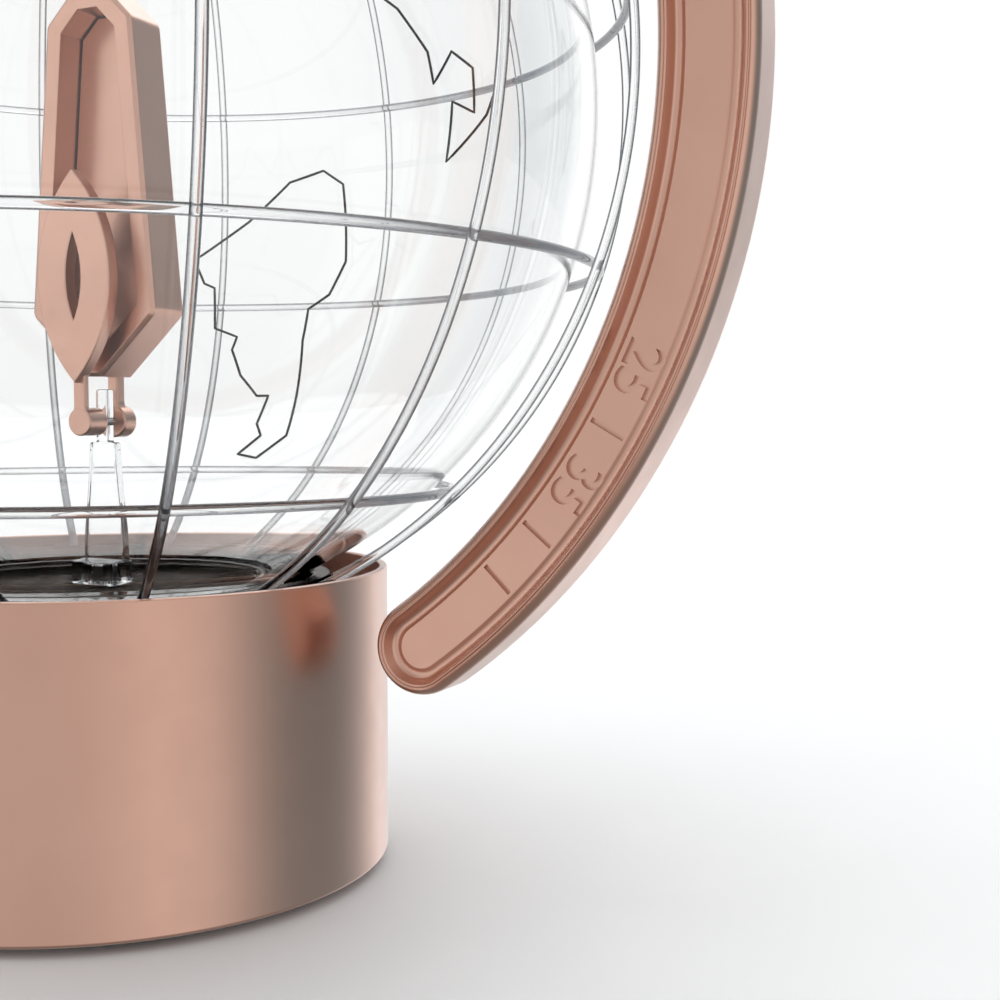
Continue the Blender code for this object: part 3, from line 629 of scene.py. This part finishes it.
def make_globe():
    """The clear shell, its neck ring and top plug, and the land outlines on its inner wall."""
    top = math.degrees(math.acos(TOP_HOLE_RADIUS / GLOBE_RADIUS))
    outer = arc(GLOBE_RADIUS, top, MOUTH_LATITUDE, 110, (0.0, GLOBE_Z))
    inner = arc(GLOBE_RADIUS - GLASS_THICKNESS, MOUTH_LATITUDE, top, 110, (0.0, GLOBE_Z))
    fit(lathe("globe_shell", outer + inner, 256), "globe", "clear_acrylic", ["globe_glass"], CLEAR_SHELL)
    low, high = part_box("globe_neck_ring")
    mouth, mouth_z = sphere_point(GLOBE_RADIUS, MOUTH_LATITUDE, GLOBE_Z)
    seat = mouth_z - 0.25 * MM
    lip = mouth - GLASS_THICKNESS + 0.2 * MM
    bore = 32.0 * MM
    neck = lathe(
        "globe_neck",
        filleted(
            [
                (high.x, seat, 0.2 * MM),
                (high.x, low.z, 0.3 * MM),
                (bore, low.z, 0.3 * MM),
                (bore, high.z, 0.3 * MM),
                (lip, high.z, 0.2 * MM),
                (lip, seat, 0.1 * MM),
            ]
        ),
        256,
    )
    fit(neck, "globe", "clear_acrylic", ["globe_neck_ring"])
    low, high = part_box("globe_top_plug")
    glass_top = GLOBE_Z + GLOBE_RADIUS
    plug = lathe(
        "globe_plug",
        filleted(
            [
                (0.0, high.z, 0.0),
                (6.0 * MM, high.z, 0.8 * MM),
                (7.2 * MM, glass_top + 0.3 * MM, 0.2 * MM),
                (5.6 * MM, glass_top + 0.2 * MM, 0.1 * MM),
                (5.6 * MM, low.z, 0.5 * MM),
                (0.0, low.z, 0.0),
            ],
            closed=False,
        ),
        SMALL_STEPS,
        closed=False,
    )
    fit(plug, "globe", "clear_acrylic", ["globe_top_plug"])
    make_land_lines()


def make_land_lines():
    """Thin dark lines along the land outlines, just inside the glass."""
    curve = bpy.data.curves.new("land_lines", "CURVE")
    curve.dimensions = "3D"
    curve.bevel_depth = LAND_LINE_RADIUS
    curve.bevel_resolution = 2
    radius = GLOBE_RADIUS - GLASS_THICKNESS - 0.42 * MM
    for outline in LANDS.values():
        path = []
        middle = sum(place[0] for place in outline) / len(outline)
        for (lon_a, lat_a), (lon_b, lat_b) in zip(outline, outline[1:] + outline[:1]):
            pieces = 6
            for k in range(pieces):
                lon = lon_a + (lon_b - lon_a) * k / pieces
                lat = lat_a + (lat_b - lat_a) * k / pieces
                turned = math.radians(middle + (lon - middle) * LAND_WIDTH + LAND_TURN)
                lowered = LAND_PIN_LATITUDE + LAND_SHIFT + (lat - LAND_PIN_LATITUDE) * LAND_HEIGHT
                tilted = math.radians(lowered)
                path.append(
                    (
                        radius * math.cos(tilted) * math.cos(turned),
                        radius * math.cos(tilted) * math.sin(turned),
                        GLOBE_Z + radius * math.sin(tilted),
                    )
                )
        spline = curve.splines.new("POLY")
        spline.points.add(len(path) - 1)
        for point, place in zip(spline.points, path):
            point.co = (*place, 1.0)
        spline.use_cyclic_u = True
    drawn = bpy.data.objects.new("land_lines_curve", curve)
    bpy.context.scene.collection.objects.link(drawn)
    bpy.context.view_layer.update()
    graph = bpy.context.evaluated_depsgraph_get()
    lines = bpy.data.objects.new("land_lines", bpy.data.meshes.new_from_object(drawn.evaluated_get(graph)))
    bpy.context.scene.collection.objects.link(lines)
    bpy.data.objects.remove(drawn)
    shade(lines)
    fit(lines, "globe", "dark_gloss")


# ---------------------------------------------------------------- arm

ARC_STEPS = 200
END_STEPS = 28
# The arm's section as (distance in from its edge, depth below the crest) in millimetres, from the flat
# face out: a groove, the crest, and a finer groove outside it
ARM_SECTION = (
    (4.95, 1.95), (4.75, 1.97), (4.5, 2.12), (4.15, 2.32), (3.7, 2.38), (3.3, 2.28), (2.95, 1.95),
    (2.6, 1.25), (2.3, 0.55), (2.12, 0.17), (1.98, 0.03), (1.86, 0.0), (1.74, 0.06), (1.64, 0.20),
    (1.54, 0.31), (1.43, 0.31), (1.31, 0.23),
)
FLAT_DEPTH = ARM_SECTION[0][1] * MM
EDGE_WIDTH, EDGE_DROP = 1.8, 2.7
SCALE_NUMBERS = (25, 35)
SCALE_TICKS = (30, 40, 45)
NUMBER_SIZE = 9.8 * MM
NUMBER_WEIGHT = 0.15 * MM
TICK_WIDTH, TICK_LENGTH = 0.9 * MM, 6.6 * MM
ENGRAVING_DEPTH = 0.9 * MM


def arm_outline(inset):
    """The arm's curved band with round ends, moved in by inset, as (x, z) points."""
    first, last = ARM_END_LATITUDE, 180 - ARM_END_LATITUDE
    middle, half = (ARM_INNER + ARM_OUTER) / 2, (ARM_OUTER - ARM_INNER) / 2
    centre = (0.0, ARM_CENTRE_Z)
    ends = [arc(middle, angle, angle, 1, centre)[0] for angle in (first, last)]
    outline = arc(ARM_OUTER - inset, first, last, ARC_STEPS, centre)
    outline += arc(half - inset, last, last + 180, END_STEPS, ends[1])[1:-1]
    outline += arc(ARM_INNER + inset, last, first, ARC_STEPS, centre)
    outline += arc(half - inset, first + 180, first + 360, END_STEPS, ends[0])[1:-1]
    return outline


def arm_section():
    """(inset, y) points from the front's flat face, round the edge, to the back's."""
    front = [(d, y) for d, y in smooth_path(ARM_SECTION, 3)]
    turns = [math.radians(20 + 70 * k / 12) for k in range(13)]
    front += [(EDGE_WIDTH * (1 - math.sin(t)), EDGE_DROP * (1 - math.cos(t))) for t in turns]
    section = [(inset * MM, -ARM_HALF + depth * MM) for inset, depth in front]
    return section + [(inset, -y) for inset, y in reversed(section)]


def close_band(bm, ring):
    """Fills the band's flat face with a ladder of quads and two round ends."""
    corner = ARC_STEPS + END_STEPS
    inner = [ring[corner + ARC_STEPS - k] for k in range(ARC_STEPS + 1)]
    outer = ring[: ARC_STEPS + 1]
    for k in range(ARC_STEPS):
        bm.faces.new((outer[k], outer[k + 1], inner[k + 1], inner[k]))
    bm.faces.new(ring[ARC_STEPS : corner + 1])
    bm.faces.new(ring[corner + ARC_STEPS :] + ring[:1])


def on_the_scale(latitude):
    """The placing matrix of a mark on the arm's flat face, its top outward, at a southern latitude."""
    angle = math.radians(-latitude)
    out = Vector((math.cos(angle), 0, math.sin(angle)))
    along = Vector((math.sin(angle), 0, -math.cos(angle)))
    turn = Matrix((along, out, Vector((0, -1, 0)))).transposed().to_4x4()
    place = out * (ARM_INNER + ARM_OUTER) / 2 + Vector((0, -ARM_HALF + FLAT_DEPTH, ARM_CENTRE_Z))
    return Matrix.Translation(place) @ turn


def engraving():
    """The numbers and ticks of a latitude scale as one closed cutter, along the arm's lower right."""
    joined = bmesh.new()
    for number in SCALE_NUMBERS:
        text = bpy.data.curves.new(f"number_{number}", "FONT")
        text.body = str(number)
        text.size = NUMBER_SIZE
        text.align_x = "CENTER"
        text.align_y = "CENTER"
        text.extrude = ENGRAVING_DEPTH
        text.offset = NUMBER_WEIGHT
        text.resolution_u = 6
        text.space_character = 1.0
        drawn = bpy.data.objects.new(f"number_{number}", text)
        bpy.context.scene.collection.objects.link(drawn)
        bpy.context.view_layer.update()
        graph = bpy.context.evaluated_depsgraph_get()
        mesh = bpy.data.meshes.new_from_object(drawn.evaluated_get(graph))
        mesh.transform(on_the_scale(number))
        joined.from_mesh(mesh)
        bpy.data.objects.remove(drawn)
    for latitude in SCALE_TICKS:
        size = Matrix.Diagonal((TICK_WIDTH, TICK_LENGTH, 2 * ENGRAVING_DEPTH, 1.0))
        bmesh.ops.create_cube(joined, size=1.0, matrix=on_the_scale(latitude) @ size)
    bmesh.ops.remove_doubles(joined, verts=joined.verts, dist=1e-6)
    mesh = bpy.data.meshes.new("engraving")
    joined.to_mesh(mesh)
    joined.free()
    cutter = bpy.data.objects.new("engraving", mesh)
    bpy.context.scene.collection.objects.link(cutter)
    return cutter


def make_arm():
    """The curved arm: grooves inside its edge, a flat face with engraved numbers, and a boss."""
    loops = [[(x, y, z) for x, z in arm_outline(inset)] for inset, y in arm_section()]
    bm = skinned(loops)
    bm.verts.ensure_lookup_table()
    count = len(loops[0])
    close_band(bm, bm.verts[:count])
    close_band(bm, bm.verts[-count:])
    arm = new_object("arm_band", bm)
    cut(arm, engraving())
    edge = 0.8 * MM
    boss = lathe(
        "boss",
        filleted(
            [
                (0.0, BOSS_TOP_Z, 0.0),
                (BOSS_RADIUS, BOSS_TOP_Z, edge),
                (BOSS_RADIUS, BOSS_BOTTOM_Z, edge),
                (0.0, BOSS_BOTTOM_Z, 0.0),
            ],
            closed=False,
        ),
        SMALL_STEPS,
        closed=False,
    )
    cut(arm, boss, "UNION")
    bore = lathe(
        "bore",
        [
            (0.0, BOSS_TOP_Z + 1 * MM),
            (BUSH_HOLE_RADIUS, BOSS_TOP_Z + 1 * MM),
            (BUSH_HOLE_RADIUS, BOSS_BOTTOM_Z - 1 * MM),
            (0.0, BOSS_BOTTOM_Z - 1 * MM),
        ],
        32,
        closed=False,
    )
    cut(arm, bore)
    fit(shade(arm, 38), "arm", "rose_gold", ["meridian_arm"])


# ---------------------------------------------------------------- pedestal and emblem


# The pedestal's sizes are in millimetres
POST_Y = 1.6
POST_HALF_DEPTH = 1.1
TAB_HALF_WIDTH = 1.5
# Its block foot as (half width, half depth, corner radius, height)
PEDESTAL_FOOT = (
    (4.95, 3.15, 0.5, 0.0),
    (5.2, 3.4, 0.6, 0.25),
    (5.2, 3.4, 0.6, 4.5),
    (5.12, 3.32, 0.55, 4.7),
    (4.95, 3.15, 0.5, 4.8),
)
# The plate above it as (half width, height)
PEDESTAL_PLATE = ((5.0, 5.1), (4.92, 8.0), (4.75, 11.2), (4.15, 16.2), (3.6, 22.5), (3.2, 28.5))


def make_pedestal():
    """A thin clear plate that tapers up from a block foot to a shoulder, and the hinge pin's tab on it."""
    foot_z = PEDESTAL_LOW.z / MM
    shoulder = PIN_Z / MM - 4.2
    top = PEDESTAL_HIGH.z / MM
    sections = [(a, b, 0.0, c, foot_z + z) for a, b, c, z in PEDESTAL_FOOT]
    sections += [(a, POST_HALF_DEPTH, POST_Y, 0.45, foot_z + z) for a, z in smooth_path(PEDESTAL_PLATE, 4)]
    sections += [
        (3.05, 1.05, POST_Y, 0.45, shoulder - 0.12),
        (2.70, 1.00, POST_Y, 0.40, shoulder),
        (1.70, 1.00, POST_Y, 0.40, shoulder + 0.05),
        (TAB_HALF_WIDTH, POST_HALF_DEPTH, POST_Y, 0.45, shoulder + 0.35),
        (TAB_HALF_WIDTH, POST_HALF_DEPTH, POST_Y, 0.45, top - 0.50),
        (1.40, 1.02, POST_Y, 0.45, top - 0.15),
        (1.10, 0.80, POST_Y, 0.40, top),
    ]
    loops = []
    for half_x, half_y, y, corner, z in sections:
        near, far = (y - half_y) * MM, (y + half_y) * MM
        half, fillet = half_x * MM, corner * MM
        corners = [(half, far, fillet), (-half, far, fillet), (-half, near, fillet), (half, near, fillet)]
        loops.append([(x, depth, z * MM) for x, depth in filleted(corners, 6)])
    pedestal = new_object("clear_post", skinned(loops, caps=True), 30)
    hole_top, hole_bottom = DECK_HIGH.z + 4.5 * MM, PEDESTAL_LOW.z - 1 * MM
    bolt_hole = lathe(
        "bolt_hole",
        [(0.0, hole_top), (BOLT_HOLE_RADIUS, hole_top), (BOLT_HOLE_RADIUS, hole_bottom), (0.0, hole_bottom)],
        32,
        closed=False,
    )
    cut(pedestal, bolt_hole)
    reach = (POST_HALF_DEPTH + 1.0) * MM
    cut(pedestal, rod_along_y("tab_hole", TAB_HOLE_RADIUS, POST_Y * MM - reach, POST_Y * MM + reach))
    fit(shade(pedestal, 30), "base", "clear_acrylic", ["pedestal"])


def rod_along_y(name, radius, near, far, edge=0.0):
    """A cylinder along Y on the hinge pin's axis, with rounded ends where edge isn't 0."""
    outline = lambda inset: arc(radius - inset, 0, 360 - 360 / 48, 47, (0.0, PIN_Z))
    if edge == 0.0:
        return slab(name, outline, [(0.0, near), (0.0, far)])
    return slab(name, outline, rounded_sides(near, far, edge))


def rounded_sides(front, back, edge, inset=0.0, steps=5):
    """(inset, y) points over a plate's edge from front to back, with both corners rounded."""
    turns = [math.pi / 2 * k / steps for k in range(steps + 1)]
    sign = 1 if back > front else -1
    section = [(inset + edge + HOLD, front)]
    section += [(inset + edge * (1 - math.sin(t)), front + sign * edge * (1 - math.cos(t))) for t in turns]
    section += [(inset, front + sign * (edge + HOLD)), (inset, back - sign * (edge + HOLD))]
    section += [(inset + edge * (1 - math.cos(t)), back - sign * edge * (1 - math.sin(t))) for t in turns]
    section.append((inset + edge + HOLD, back))
    return section


def frame_outline(inset):
    """The emblem frame's six-sided outline with softly rounded corners, moved in by inset."""
    half, top_half, tip_half = EMBLEM_HIGH.x, 10.4 * MM, TIP_HALF_WIDTH
    shoulder = CENTRE_Z + 13.0 * MM
    top = EMBLEM_HIGH.z
    corner = CENTRE_Z - 44.6 * MM
    cap = top_half - (top - shoulder)
    corners = [
        (top_half, shoulder),
        (cap, top),
        (-cap, top),
        (-top_half, shoulder),
        (-half, corner),
        (-tip_half, TIP_Z),
        (tip_half, TIP_Z),
        (half, corner),
    ]
    moved = []
    for i, place in enumerate(corners):
        here = Vector(place)
        before = (here - Vector(corners[i - 1])).normalized()
        after = (Vector(corners[(i + 1) % len(corners)]) - here).normalized()
        inward = Vector((-before[1] - after[1], before[0] + after[0])).normalized()
        point = here + inward * inset / inward.dot(Vector((-before[1], before[0])))
        small = abs(place[0]) == tip_half
        radius = 0.15 * MM if small else max(0.25 * MM, 2.6 * MM - inset)
        moved.append((point.x, point.y, radius))
    return filleted(moved, 7)


def keyhole(radius, neck_half, top_z, fillet):
    """A round eye on the hinge pin's axis that runs up into a neck, as (x, z) points, for any inset."""

    def outline(inset):
        eye = radius - inset
        neck = neck_half - inset
        blend = fillet + inset
        rise = math.sqrt((eye + blend) ** 2 - (neck + blend) ** 2)
        start = math.degrees(math.atan2(rise, neck + blend))
        lower = arc(eye, 180 - start, 360 + start, 40, (0.0, PIN_Z))
        right = arc(blend, 180 + start, 180, 8, (neck + blend, PIN_Z + rise))[1:]
        left = arc(blend, 0, -start, 8, (-neck - blend, PIN_Z + rise))[:-1]
        top = top_z - inset
        return lower + right + [(neck, top), (-neck, top)] + left

    return outline


def make_emblem():
    """A deep six-sided frame behind, an oval leaf in front, each with an eye for the hinge pin."""
    front, back = EMBLEM_LOW.y, EMBLEM_HIGH.y
    band, side = FRAME_BAND, FRAME_CHAMFER
    pocket_back = front + FRAME_POCKET_DEPTH
    cove, lip = 0.3 * MM, 0.15 * MM
    turns = [math.pi / 2 * k / 5 for k in range(6)]
    section = [(band + 0.5 * MM, pocket_back)]
    section += [(band + cove * (1 - math.sin(t)), pocket_back - cove * (1 - math.cos(t))) for t in turns]
    section += [(band, pocket_back - cove - HOLD), (band, front + lip + HOLD)]
    section += [(band - lip * (1 - math.cos(t)), front + lip * (1 - math.sin(t))) for t in turns]
    section += [(band - lip - HOLD, front), (side * 1.25 + HOLD, front)]
    section += [(side * 1.25, front), (side * 1.05, front + 0.03 * MM)]
    section += [(side * 0.1, front + side * 0.85), (0.0, front + side * 1.15)]
    section.append((0.0, front + side * 1.15 + HOLD))
    edges = rounded_sides(front, back, 0.5 * MM)
    section += edges[len(edges) // 2 :]
    frame_piece = slab("emblem_surround", frame_outline, section, sharp=30)
    near, far = REAR_BARREL
    neck = slab(
        "rear_neck",
        keyhole(REAR_BARREL_RADIUS - 0.1 * MM, 1.25 * MM, TIP_Z + 2.0 * MM, 2.6 * MM),
        rounded_sides(near + 0.1 * MM, 6.5 * MM, 0.35 * MM),
    )
    cut(frame_piece, neck, "UNION")
    cut(frame_piece, rod_along_y("rear_barrel", REAR_BARREL_RADIUS, near, far, 0.45 * MM), "UNION")
    cut(frame_piece, rod_along_y("rear_hole", PIN_HOLE_RADIUS, near - 1 * MM, far - BARREL_END_WALL))
    fit(shade(frame_piece, 30), "emblem", "rose_gold", ["emblem_frame"])
    low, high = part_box("emblem_panel")
    panel = slab(
        "emblem_back_panel",
        lambda inset: frame_outline(band + 0.3 * MM + inset),
        rounded_sides(low.y, high.y, 0.2 * MM),
    )
    fit(panel, "emblem", "rose_gold", ["emblem_panel"])
    make_petal()


def leaf_outline(half_width, half_height, inset):
    """A pointed oval of two arcs, moved in by inset."""
    radius = (half_height**2 + half_width**2) / (2 * half_width)
    offset = radius - half_width
    smaller = radius - inset
    reach = math.degrees(math.acos(offset / smaller))
    right = arc(smaller, -reach, reach, 48, (-offset, PETAL_CENTRE_Z))
    left = arc(smaller, 180 - reach, 180 + reach, 48, (offset, PETAL_CENTRE_Z))
    return right[:-1] + left[:-1]


def make_petal():
    """The leaf: an oval plate with an oval slot, softly rounded all over, and its eye below."""
    front, back = PETAL_FRONT_Y, PETAL_FRONT_Y + PETAL_THICKNESS
    edge = 0.3 * MM
    rings = [(leaf_outline(8.8 * MM, 20.8 * MM, inset), y) for inset, y in rounded_sides(front, back, edge)]
    rings += [(leaf_outline(1.8 * MM, 8.5 * MM, -inset), y) for inset, y in rounded_sides(back, front, edge)]
    loops = [[(x, y, z) for x, z in ring] for ring, y in rings]
    petal = new_object("emblem_leaf", skinned(loops, closed=True), 35)
    near, far = FRONT_BARREL
    neck = slab(
        "front_neck",
        keyhole(FRONT_BARREL_RADIUS - 0.1 * MM, 1.4 * MM, PETAL_CENTRE_Z - 14.5 * MM, 1.6 * MM),
        rounded_sides(near + 0.1 * MM, back - 0.25 * MM, 0.25 * MM),
    )
    cut(petal, neck, "UNION")
    cut(petal, rod_along_y("front_barrel", FRONT_BARREL_RADIUS, near, far, 0.35 * MM), "UNION")
    cut(petal, rod_along_y("front_hole", PIN_HOLE_RADIUS, near + BARREL_END_WALL, far + 1 * MM))
    fit(shade(petal, 35), "emblem", "rose_gold", ["emblem_petal"])


# ---------------------------------------------------------------- other CAD nodes, stage, light, camera


def finish_cad_nodes():
    """CAD nodes that stay as they are get their slot's material."""
    slots = {part["node"]: part["material_slot"] for part in frame["record"]["subparts"]}
    for name, obj in frame["nodes"].items():
        obj.data.materials.clear()
        obj.data.materials.append(FINISHES[slots[name]])


def make_stage():
    """A pale floor that runs out to white."""
    bm = bmesh.new()
    bmesh.ops.create_circle(bm, cap_ends=True, segments=96, radius=6.0)
    floor = new_object("floor", bm)
    floor.data.materials.append(pale_floor())
    floor.visible_glossy = False


# The studio's walls as (heading from +X towards +Y in degrees, colour), its ceiling and its ground
STUDIO_WALLS = (
    (-180, (0.42, 0.45, 0.47)),
    (-162, (0.42, 0.45, 0.47)),
    (-150, (1.36, 1.34, 1.32)),
    (-126, (1.36, 1.34, 1.32)),
    (-117, (0.92, 0.92, 0.92)),
    (-106, (0.78, 0.78, 0.78)),
    (-58, (0.78, 0.78, 0.78)),
    (-34, (1.02, 1.01, 1.00)),
    (-14, (0.98, 0.98, 0.98)),
    (8, (0.45, 0.51, 0.53)),
    (20, (0.26, 0.33, 0.36)),
    (50, (0.24, 0.31, 0.34)),
    (62, (0.36, 0.44, 0.48)),
    (78, (0.95, 0.98, 1.0)),
    (84, (1.35, 1.35, 1.35)),
    (92, (1.35, 1.35, 1.35)),
    (98, (1.0, 1.0, 1.0)),
    (152, (1.0, 1.0, 1.0)),
    (163, (0.42, 0.45, 0.47)),
    (180, (0.42, 0.45, 0.47)),
)
STUDIO_CEILING = (0.70, 0.71, 0.72)
STUDIO_GROUND = (0.30, 0.29, 0.28)


def make_light():
    """A white studio with dark flags behind on the right and on the left, and a soft sun from above."""
    world = bpy.data.worlds.new("studio")
    bpy.context.scene.world = world
    world.use_nodes = True
    tree = world.node_tree
    background = tree.nodes["Background"]
    direction = node(tree, "ShaderNodeTexCoord")
    split = node(tree, "ShaderNodeSeparateXYZ")
    heading = node(tree, "ShaderNodeMath", operation="ARCTAN2")
    turn = node(tree, "ShaderNodeMapRange")
    turn.inputs["From Min"].default_value = -math.pi
    turn.inputs["From Max"].default_value = math.pi
    walls = node(tree, "ShaderNodeValToRGB")
    elements = walls.color_ramp.elements
    for i, (angle, colour) in enumerate(STUDIO_WALLS):
        stop = elements[i] if i < 2 else elements.new((angle + 180) / 360)
        stop.position = (angle + 180) / 360
        stop.color = (*colour, 1)
    rise = node(tree, "ShaderNodeMapRange")
    rise.inputs["From Min"].default_value = 0.60
    rise.inputs["From Max"].default_value = 0.90
    mixed = node(tree, "ShaderNodeMix", data_type="RGBA")
    mixed.inputs[7].default_value = (*STUDIO_CEILING, 1)
    fall = node(tree, "ShaderNodeMapRange")
    fall.inputs["From Min"].default_value = -0.35
    fall.inputs["From Max"].default_value = -0.75
    grounded = node(tree, "ShaderNodeMix", data_type="RGBA")
    grounded.inputs[7].default_value = (*STUDIO_GROUND, 1)
    tree.links.new(direction.outputs["Generated"], split.inputs["Vector"])
    tree.links.new(split.outputs["Y"], heading.inputs[0])
    tree.links.new(split.outputs["X"], heading.inputs[1])
    tree.links.new(heading.outputs["Value"], turn.inputs["Value"])
    tree.links.new(turn.outputs["Result"], walls.inputs["Fac"])
    tree.links.new(split.outputs["Z"], rise.inputs["Value"])
    tree.links.new(rise.outputs["Result"], mixed.inputs[0])
    tree.links.new(walls.outputs["Color"], mixed.inputs[6])
    tree.links.new(split.outputs["Z"], fall.inputs["Value"])
    tree.links.new(fall.outputs["Result"], grounded.inputs[0])
    tree.links.new(mixed.outputs[2], grounded.inputs[6])
    tree.links.new(grounded.outputs[2], background.inputs["Color"])
    sun = bpy.data.lights.new("soft_sun", "SUN")
    sun.energy = 1.3
    sun.angle = math.radians(80)
    obj = bpy.data.objects.new("soft_sun", sun)
    obj.rotation_euler = (math.radians(-18), math.radians(-14), 0)
    bpy.context.scene.collection.objects.link(obj)


def make_camera():
    """Stands 305 mm from the axis, aims to the right of it and slightly down."""
    azimuth, distance, height = math.radians(39.2), 305.5 * MM, 90.56 * MM
    aim_right, aim_down = math.radians(15.31), math.radians(3.32)
    heading = math.pi / 2 + azimuth - aim_right
    forward = Vector(
        (math.cos(heading) * math.cos(aim_down), math.sin(heading) * math.cos(aim_down), -math.sin(aim_down))
    )
    data = bpy.data.cameras.new("camera")
    data.lens = 52.56
    data.sensor_width = 36.0
    data.clip_start = 5 * MM
    data.clip_end = 100.0
    camera = bpy.data.objects.new("camera", data)
    camera.location = (distance * math.sin(azimuth), -distance * math.cos(azimuth), height)
    camera.rotation_mode = "QUATERNION"
    camera.rotation_quaternion = forward.to_track_quat("-Z", "Y")
    bpy.context.scene.collection.objects.link(camera)
    bpy.context.scene.camera = camera


make_base()
make_cage()
make_hub()
make_globe()
make_arm()
make_pedestal()
make_emblem()
finish_cad_nodes()
make_stage()
make_light()
make_camera()
bpy.context.scene.view_settings.view_transform = "Standard"
